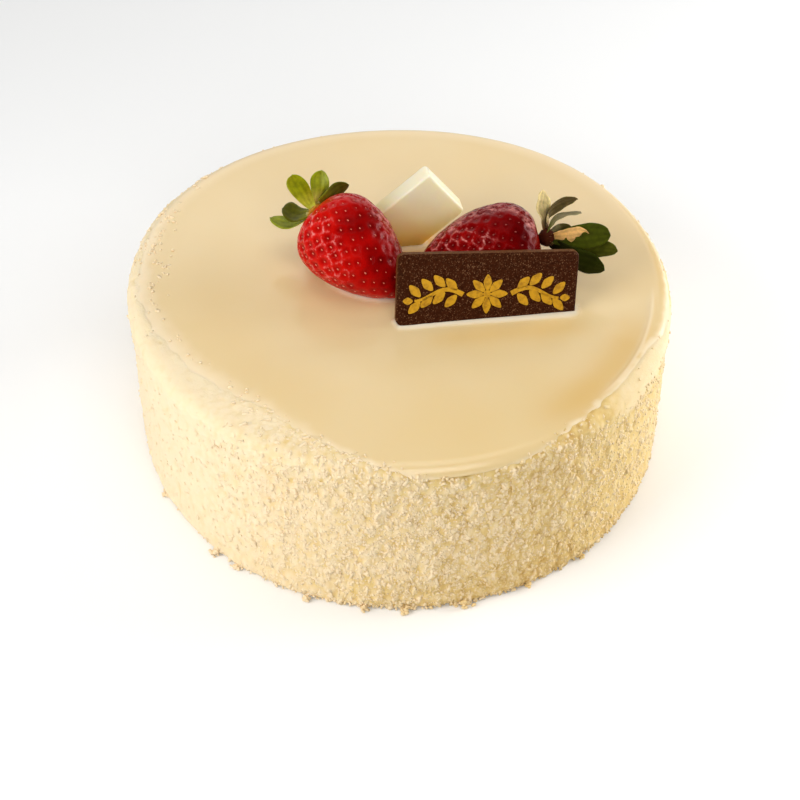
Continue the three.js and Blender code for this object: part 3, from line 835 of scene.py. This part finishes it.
def makeLeaf(shape, hue, leaf, seed):
    bearing, length, width, lift, curl, twist, crumple, foot, end = leaf
    others = set(shape.verts)
    sheet = bmesh.ops.create_grid(shape, x_segments=leafSheets["across"],
                                  y_segments=leafSheets["along"], size=0.5)["verts"]
    faces = {face for vert in sheet for face in vert.link_faces}
    bmesh.ops.solidify(shape, geom=list(faces), thickness=0.01)
    verts = [vert for vert in shape.verts if vert not in others]
    flat = np.array([vert.co for vert in verts])
    outward = np.where(flat[:, 2] > flat[:, 2].mean(), 0.5, -0.5) * leafSheets["thickness"]
    share, across = np.clip(0.5 + flat[:, 1], 0, 1), np.clip(flat[:, 0], -0.5, 0.5)
    sideways = across * leafHalf(share, width)
    bent, turn = np.radians(lift + curl * share), math.radians(twist)
    veins = np.cos(across * 2 * math.pi * 3.5 + 2 * share) * smoothStep(share, 0.02, 0.2)
    sheetPlace = np.stack([sideways, share * length, np.full(len(flat), seed * 3.1)], 1)
    folds = waver(sheetPlace, 2.6, seed)
    wave = 0.16 * np.abs(sideways) + 0.35 * np.sin(9 * share + 2.5 * across)
    wave += 0.08 * veins * (1 - share * 0.5) + crumple * folds * smoothStep(share, 0.1, 0.5)
    outward *= 1 - 0.6 * np.abs(across * 2) ** 3
    rise = wave + sideways * math.sin(turn) + outward * math.cos(turn)
    reach = length * share
    places = np.stack([
        sideways * math.cos(turn) - outward * math.sin(turn),
        reach * np.cos(bent) - rise * np.sin(bent) + leafSheets["inset"],
        reach * np.sin(bent) + rise * np.cos(bent)], 1)
    places = places @ np.array(Matrix.Rotation(math.radians(bearing), 3, "Z")).T
    toEnd = smoothStep(share, 0.05, 0.6)[:, None]
    colours = np.array(linear(foot)) * (1 - toEnd) + np.array(linear(end)) * toEnd
    paler = 1 + 0.16 * veins + 0.25 * crumple * folds + 0.25 * np.abs(across * 2) ** 6
    colours[:, :3] *= paler[:, None]
    for vert, place, colour in zip(verts, places, colours):
        vert.co, vert[hue] = place, colour


calyxHair = {"count": 60, "thick": 0.14, "tip": 0.03, "long": (1.2, 2.6)}


def makeHairs(shape, hue, look, radius, height, random):
    # the fine hairs of a calyx, standing all round its boss
    for i in range(calyxHair["count"]):
        out = Vector(random.normal(0, 1, 3))
        out.z = abs(out.z) + 0.2
        out.normalize()
        made = bmesh.ops.create_cone(
            shape, cap_ends=True, segments=4, radius1=calyxHair["thick"], radius2=calyxHair["tip"],
            depth=random.uniform(*calyxHair["long"]))["verts"]
        turn = Vector((0, 0, 1)).rotation_difference(out).to_matrix()
        bmesh.ops.rotate(shape, verts=made, cent=(0, 0, 0), matrix=turn)
        root = Vector((out.x * radius, out.y * radius, out.z * height))
        bmesh.ops.translate(shape, verts=made, vec=root)
        for vert in made:
            vert[hue] = linear(look["hair"])


def makeCrown(side):
    berry, look = berries[side], crownLooks[side]
    shape = bmesh.new()
    hue = shape.verts.layers.float_color.new("hue")
    for seed, leaf in enumerate(crowns[side]):
        makeLeaf(shape, hue, leaf, seed + 1)
    radius = leafSheets["bossRadius"]
    boss = bmesh.ops.create_uvsphere(shape, u_segments=24, v_segments=14, radius=radius)["verts"]
    for vert in boss:
        vert.co *= 1 + 0.2 * noise.noise(vert.co / 1.3)
        vert.co.z *= berry["neck"] / radius
        vert[hue] = linear(look["boss"])
    makeHairs(shape, hue, look, radius, berry["neck"], np.random.default_rng(8))
    seat = berry["length"] - berrySkin["leafSeat"][0] + gap + berry["neck"]
    bmesh.ops.translate(shape, verts=shape.verts, vec=(0, 0, seat))
    bmesh.ops.transform(shape, matrix=berryPose(berry), verts=shape.verts)
    mesh = meshFrom(shape, f"crown_{side}")
    finishPiece(mesh, leafMaterial(look), [f"leaves_{side}"])


makeCrown("left")
makeCrown("right")
print("leaves done")


# White chocolate block and dark chocolate plaque

whiteBlock = {
    "width": 29, "height": 22, "thickness": 8, "corner": 1.6, "edge": 0.8,
    "foot": (3.1, 18.3, 66.2), "turn": 10, "lean": 6.4, "roll": 38.3, "spacing": 0.4,
    "uneven": 0.12,
    "glow": 26,  # height above the icing where its painted shade has faded and it is palest
}
plaque = {
    "width": 66, "height": 27.4, "thickness": 3, "corner": 2.6, "edge": 0.35,
    "foot": (-1, -26.3, 70.7), "turn": 8.7, "lean": 18, "roll": -4.6, "spacing": 0.5,
    "uneven": 0.05,
}


def slabPose(slab):
    turn, lean, roll = (math.radians(slab[key]) for key in ("turn", "lean", "roll"))
    pose = Matrix.Rotation(turn, 4, "Z") @ Matrix.Rotation(math.pi / 2 - lean, 4, "X")
    return Matrix.Translation(slab["foot"]) @ pose @ Matrix.Rotation(roll, 4, "Z")


def rounded(first, second, radius):  # two distances past an inner corner, drawn in to a round
    longest = np.maximum(np.abs(first), np.abs(second))
    both = np.hypot(first, second)
    share = np.where((longest > 0) & (longest <= radius * 1.001), longest / np.maximum(both, 1e-9), 1)
    return first * share, second * share


def slabMesh(slab, name):
    # a rounded slab, its front face at z = 0 and its lower left corner at 0, 0, with how deep
    # each point is under the nearer face and how far it is past the start of the edge's round
    width, height, thickness = slab["width"], slab["height"], slab["thickness"]
    shape = bmesh.new()
    bmesh.ops.create_grid(shape, x_segments=round(width / slab["spacing"]),
                          y_segments=round(height / slab["spacing"]), size=0.5)
    bmesh.ops.scale(shape, verts=shape.verts, vec=(width, height, 1))
    bmesh.ops.solidify(shape, geom=shape.faces[:], thickness=thickness)
    upright = [e for e in shape.edges if abs(e.verts[0].co.z - e.verts[1].co.z) > thickness / 2]
    bmesh.ops.subdivide_edges(shape, edges=upright, cuts=max(3, round(thickness / slab["spacing"])),
                              use_grid_fill=True)
    mesh = meshFrom(shape, name)
    points = meshPoints(mesh)
    depth = points[:, 2].max() - points[:, 2]
    corner, edge = slab["corner"], slab["edge"]
    inner = np.array([width / 2 - corner, height / 2 - corner])
    core = np.clip(points[:, :2], -inner, inner)
    out = points[:, :2] - core
    out = np.stack(rounded(out[:, 0], out[:, 1], corner), 1)
    away = np.linalg.norm(out, axis=1)
    direction = out / np.maximum(away, 1e-9)[:, None]
    past = np.maximum(0, away - (corner - edge))
    nearFace = np.minimum(depth, thickness - depth)
    into = np.maximum(0, edge - nearFace)
    newPast, newInto = rounded(past, into, edge)
    away = away - past + newPast
    depth = np.where(depth < thickness / 2, depth + into - newInto, depth - into + newInto)
    points = np.column_stack([core + direction * away[:, None], -depth])
    points[:, :2] += (width / 2, height / 2)
    return mesh, points, nearFace, away - (corner - edge)


def blockMaterial():
    # cast white chocolate: satin, waxy, with light going well into it; painted shade makes it golden
    # and darker low down between the strawberries
    material, shader, add, place = newMaterial("cast_white_chocolate", {
        "Roughness": 0.42, "Specular IOR Level": 0.45, "Coat Weight": 0.15, "Coat Roughness": 0.3,
        "Subsurface Weight": 0.6, "Subsurface Radius": (1.0, 0.75, 0.32), "Subsurface Scale": 0.008})
    shade = add("Attribute", {"attribute_name": "shade"})
    clouds = add("TexNoise", {"Scale": 110, "Detail": 3, "Roughness": 0.5}, place)
    mixed = add("Math", {"operation": "MULTIPLY_ADD", 1: 0.12},
                    {0: clouds, 2: shade.outputs["Fac"]})
    colour = add("ValToRGB", {"stops": [
        (0.0, "#c98522"), (0.12, "#f4b84a"), (0.26, "#ffdc86"), (0.55, "#ffe9b2"), (1.0, "#ffefcf")]},
        {"Fac": mixed})
    bump = add("Bump", {"Strength": 0.15, "Distance": 0.0004}, {"Height": clouds})
    link(shader, {"Base Color": colour, "Normal": bump})
    return material


def makeBlock():
    mesh, points = slabMesh(whiteBlock, "white_chocolate_block")[:2]
    across = points[:, 0] / whiteBlock["width"]
    points = points + whiteBlock["uneven"] * np.stack([waver(points, 5, k) for k in (1, 2, 3)], 1)
    standOnIcing(mesh, moved(points, slabPose(whiteBlock)))
    world = meshPoints(mesh)
    above = world[:, 2] - topAt(world[:, 0], world[:, 1])
    # painted shade: golden and darker towards the foot between the strawberries, a little paler to the
    # right
    shade = 0.8 * smoothStep(above, 0, whiteBlock["glow"]) + 0.15 * smoothStep(across, 0.2, 1)
    addAttribute(mesh, "shade", shade + 0.08)
    finishPiece(mesh, blockMaterial(), ["white_block"])


def plaqueMaterial():
    # cast dark chocolate: satin front, sawn edges that show the paler inside, fine pale specks
    material, shader, add, place = newMaterial("cast_dark_chocolate", {
        "Roughness": 0.5, "Specular IOR Level": 0.35, "Specular Tint": linear("#8a4a28")})
    cut = add("Attribute", {"attribute_name": "cut"})
    grain = add("TexNoise", {"Scale": 900, "Detail": 4, "Roughness": 0.7}, place)
    front = add("ValToRGB", {"stops": [(0.3, "#280e05"), (0.7, "#43200f")]}, {"Fac": grain})
    sawn = add("ValToRGB", {"stops": [(0.3, "#42230d"), (0.7, "#744820")]}, {"Fac": grain})
    body = add("Mix", {"data_type": "RGBA"}, {0: cut.outputs["Fac"], 6: front, 7: sawn})
    for scale, radius, least in ((1150, 0.3, 0.35), (1900, 0.3, 0.3)):  # cells 0.9 and 0.5 mm apart
        fleck = add("TexVoronoi", {"Scale": scale, "Randomness": 1.0}, place)
        inside = add("Math", {"operation": "LESS_THAN", 1: radius}, {0: fleck.outputs["Distance"]})
        lot = add("SeparateColor", links={"Color": fleck.outputs["Color"]})
        chosen = add("Math", {"operation": "GREATER_THAN", 1: least}, {0: lot})
        both = add("Math", {"operation": "MULTIPLY"}, {0: inside, 1: chosen})
        strength = add("Math", {"operation": "MULTIPLY"}, {0: both, 1: lot.outputs[1]})
        body = add("Mix", {"data_type": "RGBA", 7: linear("#75533a")},
                       {0: strength, 6: body.outputs[2]})
    bump = add("Bump", {"Strength": 0.5, "Distance": 0.0003}, {"Height": grain})
    link(shader, {"Base Color": body.outputs[2], "Normal": bump})
    return material


def makePlaque():
    mesh, points, nearFace, past = slabMesh(plaque, "dark_chocolate_plaque")
    wall = smoothStep(past, plaque["edge"] - 0.15, plaque["edge"])
    wall *= smoothStep(nearFace, 0.0, 0.3)
    saw = 0.12 * waver(points * (1, 1, 0.35), 1.3, 4) * wall
    middle = np.array([plaque["width"] / 2, plaque["height"] / 2])
    points[:, :2] += np.sign(points[:, :2] - middle) * saw[:, None]
    points[:, 2] += plaque["uneven"] * waver(points, 7, 6)
    standOnIcing(mesh, moved(points, slabPose(plaque)))
    addAttribute(mesh, "cut", wall)
    finishPiece(mesh, plaqueMaterial(), ["plaque"])


ornament = {
    "centre": (33, 11.8),
    "thickness": 0.35,
    "sink": 0.1,
    "petals": 8,
    "petal": (6.2, 3.1),  # length and width
    "heart": (2.8, 3.4),
    "leaf": (6.0, 3.3),
    "bud": (3.6, 2.8),
    "sprig": {"from": 8.8, "reach": 17.6, "bow": 2.1, "half": 0.95, "steps": 24,
              "leaves": (2, 8, 14, 20)},
    "colour": "#d39c14",
    "worn": "#a9760c",
}


def ornamentMaterial():
    # printed cocoa butter: a thin, slightly patchy yellow film
    material, shader, add, place = newMaterial("yellow_cocoa_butter", {
        "Roughness": 0.4, "Specular IOR Level": 0.4})
    patch = add("TexNoise", {"Scale": 520, "Detail": 4, "Roughness": 0.6}, place)
    colour = add("ValToRGB", {"stops": [
        (0.32, ornament["worn"]), (0.55, ornament["colour"])]}, {"Fac": patch})
    link(shader, {"Base Color": colour})
    return material


def petal(shape, centre, size, turn):  # a pointed oval lying in the plaque's plane
    length, width = size
    made = bmesh.ops.create_circle(shape, cap_ends=True, segments=28, radius=0.5)["verts"]
    for vert in made:
        x, y = vert.co.x * 2, vert.co.y * 2
        vert.co = (x * length / 2, y * width / 2 * (1 - 0.35 * abs(x)), 0)
    bmesh.ops.rotate(shape, verts=made, cent=(0, 0, 0), matrix=Matrix.Rotation(turn, 3, "Z"))
    bmesh.ops.translate(shape, verts=made, vec=(centre[0], centre[1], 0))


def makeOrnament():
    # a rosette between two sprigs, each a bowed stem with pairs of leaves and a bud at its end
    shape = bmesh.new()
    middle, sprig = ornament["centre"], ornament["sprig"]
    steps = sprig["steps"]
    for i in range(ornament["petals"]):
        turn = 2 * math.pi * i / ornament["petals"]
        place = (middle[0] + 4.4 * math.cos(turn), middle[1] + 4.4 * math.sin(turn))
        petal(shape, place, ornament["petal"], turn)
    petal(shape, middle, ornament["heart"], 0)
    for way in (-1, 1):
        places = []
        for i in range(steps + 1):
            along = sprig["reach"] * i / steps
            rise = sprig["bow"] * math.sin(along / sprig["reach"] * math.pi * 1.5)
            places.append(Vector((middle[0] + way * (sprig["from"] + along), middle[1] + rise, 0)))
        sides = []
        for i, place in enumerate(places):
            run = places[min(i + 1, steps)] - places[max(i - 1, 0)]
            across = Vector((-run.y, run.x, 0)).normalized() * (sprig["half"] - 0.5 * i / steps)
            sides.append((shape.verts.new(place + across), shape.verts.new(place - across)))
        for (left, right), (nextLeft, nextRight) in zip(sides, sides[1:]):
            shape.faces.new((left, right, nextRight, nextLeft))
        for i in sprig["leaves"]:
            for up in (-1, 1):
                turn = math.atan2(up * 1.1, way)
                out = Vector((math.cos(turn), math.sin(turn), 0)) * 4.3
                petal(shape, places[i] + out, ornament["leaf"], turn)
        petal(shape, places[-1] + Vector((way * 2.4, 0, 0)), ornament["bud"], 0)
    made = bmesh.ops.extrude_face_region(shape, geom=shape.faces[:])
    raised = [item for item in made["geom"] if isinstance(item, bmesh.types.BMVert)]
    bmesh.ops.translate(shape, verts=raised, vec=(0, 0, ornament["thickness"] - ornament["sink"]))
    mesh = meshFrom(shape, "plaque_ornament", merge=False)
    points = meshPoints(mesh)
    points[:, 2] -= ornament["sink"] * (points[:, 2] < 0.01)
    setPoints(mesh, moved(points, slabPose(plaque)))
    finishPiece(mesh, ornamentMaterial(), smooth=False)


makeBlock()
makePlaque()
makeOrnament()
print("chocolate done")


def plaqueFront(points):  # how far along the plaque's foot a point is, and how far before it
    turn = math.radians(plaque["turn"])
    x, y = points[:, 0] - plaque["foot"][0], points[:, 1] - plaque["foot"][1]
    return x * math.cos(turn) + y * math.sin(turn), x * math.sin(turn) - y * math.cos(turn)


def makeIcing(material):
    radius, height = cake["radius"], cake["height"]
    thick, shoulder = icing["thickness"], icing["shoulder"]
    bead, quarter = thick / 2, math.pi / 2
    outline = [(r, height) for r in np.linspace(0, radius - shoulder, pour["rings"])]
    outline += arc(radius - shoulder, height - shoulder, shoulder, quarter, 0, 10)
    outline += arc(radius - bead, height - shoulder, bead, 0, -math.pi, 9)
    outline += arc(radius - shoulder, height - shoulder, shoulder - thick, 0, quarter, 5)
    outline += [(radius * cake["flat"], height - thick), (0, height - thick)]
    mesh = meshFrom(spun(outline, pour["steps"]), "icing_skin")
    flat = meshPoints(mesh)
    angle, radius = polar(flat)
    past = np.maximum(0, radius - (cake["radius"] - shoulder))
    roof = height - shoulder + np.sqrt(np.maximum(0, shoulder ** 2 - past ** 2))
    onTop = np.abs(flat[:, 2] - roof) < 0.02
    points = settle(flat)
    turn = np.degrees(angle) % 360
    stretch = alongLip(angle)
    rise = pour["ripple"] * (waver(points, 26, 2) + 0.4 * waver(points, 9, 5))
    rise += lip["height"] * stretch * bell(radius, lip["radius"], lip["width"])
    tree = treeOf([(low[0], low[1], 0) for low in lowPoints])
    near = np.array([tree.find((p[0], p[1], 0))[2] for p in points])
    meniscus = pour["meniscus"]
    rise += meniscus["height"] * bell(near, 0, meniscus["width"])
    points[:, 2] += np.where(onTop, rise, 0)
    setPoints(mesh, points)
    bend = np.arcsin(np.clip((flat[:, 2] - height + shoulder) / shoulder, -1, 1))
    onShoulder = rimLength + shoulder * bend
    onRoof = rimLength + shoulderLength + (cake["radius"] - shoulder - radius)
    path = np.where(radius < cake["radius"] - shoulder, onRoof, onShoulder)
    dense, = coatAt(angle, "dense")
    uneven = 1.6 * waver(points, 3.5, 9)
    leftward = window(turn, *pour["frayed"])
    coated = 1 - smoothStep(path + uneven, dense - 1.5 - 4 * leftward, dense + 1.2 + 4 * leftward)
    # a painted highlight along the lip's crest
    crestHighlight = stretch * bell(radius, lip["radius"], 0.55)
    # painted light: the far rim paler, in the coat's colour
    litFarRim = window(turn, *pour["litFarRim"]) * smoothStep(radius, 89, 96)
    coated = np.maximum(coated, np.maximum(0.6 * crestHighlight, 0.75 * litFarRim))
    addAttribute(mesh, "coated", np.where(onTop, coated, 0))
    # golden painted shade inside the lip, a painted reflection before the plaque and painted shade
    # between the toppings; also faint gold towards the frayed left edge and the right side
    gold = 0.7 * window(turn, *pour["shadeInsideLip"]) * bell(radius, 87.5, 8)
    gold += 0.12 * leftward * bell(radius, 71, 11)
    gold += 0.22 * smoothStep(points[:, 0], 45, 92) * (1 - stretch)
    across, before = plaqueFront(points)  # where the plaque's painted reflection lies
    gold += 0.4 * bell(before, 8, 5) * window(across, *pour["mirrored"])
    shadedGap, stained = pour["shadedGap"], pour["stained"]
    behind = np.hypot(*((points[:, :2] - shadedGap["centre"]) / shadedGap["half"]).T)
    gold += 0.9 * (1 - smoothStep(behind, 0.5, 1.3))
    addAttribute(mesh, "gold", gold)
    fromBerry = np.hypot(*(points[:, :2] - stained["centre"]).T)
    juice = 1 - smoothStep(fromBerry, stained["full"], stained["ends"])
    juice = 0.3 * bell(near, 0, 2.6) * juice
    addAttribute(mesh, "juice", juice)
    # a pale painted reflection round the feet of the toppings, glossier there too, left out between
    # them
    wet = 0.58 * bell(near, 0, 1.2) * smoothStep(behind, 1.0, 1.7)
    addAttribute(mesh, "wet", np.where(onTop, wet, 0))
    finishPiece(mesh, material, ["icing"])


makeIcing(icingMaterial())
print("icing done")


# Grated white chocolate lying on the body and over the icing's rim

grated = {
    "coat_dust": {"shape": "cube", "count": 8500, "long": (0.5, 1.0), "wide": 0.8, "thick": 0.7,
                  "sway": 1.0, "strewn": 1, "seed": 20},
    "coat_crumbs": {"shape": "crumb", "count": 6500, "long": (0.9, 1.9), "wide": 0.75, "thick": 0.7,
                    "sway": 0.6, "strewn": 0.6, "seed": 21},
    "coat_lumps": {"shape": "crumb", "count": 3200, "long": (1.6, 3.2), "wide": 0.48, "thick": 0.42,
                   "sway": 0.35, "strewn": 0.2, "seed": 22},
    "coat_shreds": {"shape": "cube", "count": 2600, "long": (1.4, 3.0), "wide": 0.36, "thick": 0.32,
                    "sway": 0.4, "strewn": 0, "seed": 23},
    "coat_flakes": {"shape": "cube", "count": 1000, "long": (1.1, 2.2), "wide": 0.65, "thick": 0.3,
                    "sway": 0.6, "strewn": 0, "seed": 24},
}


def crumbMesh(name, kind, places, turns, length, random):  # none of it under the floor
    sizes = np.stack([length, length * kind["wide"], length * kind["thick"]], 1)
    mesh = joined(name, template(kind["shape"]), places, turns, sizes, 0.3, random)
    points = meshPoints(mesh)
    points[:, 2] = np.maximum(points[:, 2], 0.02)
    setPoints(mesh, points)
    return mesh


def tintCrumbs(mesh, places, outward, length, tint):  # painted shade: pale at their tips and tops, warmer and darker at their roots
    points = meshPoints(mesh)
    each = len(points) // len(places)
    fromRoot = points - np.repeat(places, each, 0)
    lift = np.sum(fromRoot * np.repeat(outward + (0, 0, 0.5), each, 0), 1)
    addAttribute(mesh, "tint", np.repeat(tint, each) + 0.3 * lift / np.repeat(length, each))


def scatterCoat(name, material):
    kind = grated[name]
    random = np.random.default_rng(kind["seed"])
    drawn = kind["count"] * 4  # places tried, of which the cover keeps some
    angle = random.uniform(0, 2 * math.pi, drawn)
    path = random.uniform(0.4, coat["reach"], drawn)
    dense, last, rugged, crumbly = coatAt(angle, "dense", "last", "rugged", "crumbly")
    radius, height, level, steep = outlineAt(path)
    places = settle(around(radius, angle, height))
    clumps = crumbly * (1 - smoothStep(path, dense - 1, last)) * (0.3 + 1.3 * waver(places, 5, 12))
    clumps *= kind["strewn"]  # what lies loose beyond the dense coat
    onRim = smoothStep(path, rimLength - 4, rimLength + 2)
    cover = np.clip(1.15 * rugged - 0.08, 0.05, 1) * (1 - onRim * (1 - crumbly))
    keep = random.uniform(0, 1, drawn) < np.where(path < dense - 1, cover, clumps)
    keep = np.flatnonzero(keep)[:kind["count"]]
    angle, path, places, level, steep = angle[keep], path[keep], places[keep], level[keep], steep[keep]
    outward = around(level, angle, steep)
    length = random.uniform(0, 1, len(path)) ** 1.6
    length = kind["long"][0] + (kind["long"][1] - kind["long"][0]) * length
    high = random.uniform(0, 1, len(path)) ** 1.5
    relief, shade = coatRelief(places, angle)
    inBand = path < dense[keep] - 2
    start = coat["band"]["from"]
    onBand = coat["band"]["thick"] * smoothStep(path, start, start + 3)
    ground = np.where(inBand, relief + onBand, 0)
    loose = path > dense[keep] - 1
    sunk = 0.26 - 0.18 * loose - 0.3 * high
    places = places + outward * (ground - sunk * length)[:, None]
    leaning = units(outward + random.uniform(-0.4, 0.4, outward.shape))
    turns = framesFrom(leaning, random.normal(math.pi / 2, kind["sway"], len(path)))
    mesh = crumbMesh(name, kind, places, turns, length, random)
    # painted shade from the relief, and paler the further a crumb stands out
    tint = coatTint(places, angle, 0.5 * shade + 0.2 * high) + random.normal(0, 0.04, len(path))
    tint -= 0.06 * loose
    tintCrumbs(mesh, places, outward, length, tint)
    finishPiece(mesh, material)
    print(name, len(path), "pieces,", len(mesh.polygons), "triangles")


footPiles = {  # crumbs fallen from the coat, heaped against its foot: x, y and how wide
    "piles": [(2.5, -99.6, 2.2), (24, -97.2, 3.2), (-66.5, -71.5, 3.0), (-59, -79.5, 1.8),
              (-33, -94.5, 1.6), (47, -87.5, 1.8), (-88, -43, 1.8), (67, -74, 1.6), (-12, -99, 1.6)],
    "crumbs": 30, "shape": "crumb", "long": (0.9, 2.4), "wide": 0.7, "thick": 0.6,
}


def makeFootPiles(material):
    random = np.random.default_rng(30)
    places, length = [], []
    for x, y, wide in footPiles["piles"]:
        for i in range(footPiles["crumbs"]):
            out = random.normal(0, 0.42, 3) * wide
            places.append((x + out[0], y + out[1], abs(out[2]) * 0.9 + 0.3))
            length.append(random.uniform(*footPiles["long"]) * (0.5 + 0.25 * wide))
    places, length = np.array(places), np.array(length)
    outward = np.array(places) * (1, 1, 0) / np.hypot(places[:, 0], places[:, 1])[:, None]
    turns = framesFrom(outward, random.uniform(0, math.pi, len(places)))
    mesh = crumbMesh("foot_crumbs", footPiles, places, turns, length, random)
    angle = np.arctan2(places[:, 1], places[:, 0])
    tintCrumbs(mesh, places, outward, length, coatTint(places, angle, 0.05 + 0 * angle))
    finishPiece(mesh, material)


for name in grated:
    scatterCoat(name, crumbFinish)
makeFootPiles(crumbFinish)
print("grated chocolate done")


bpy.context.view_layer.update()
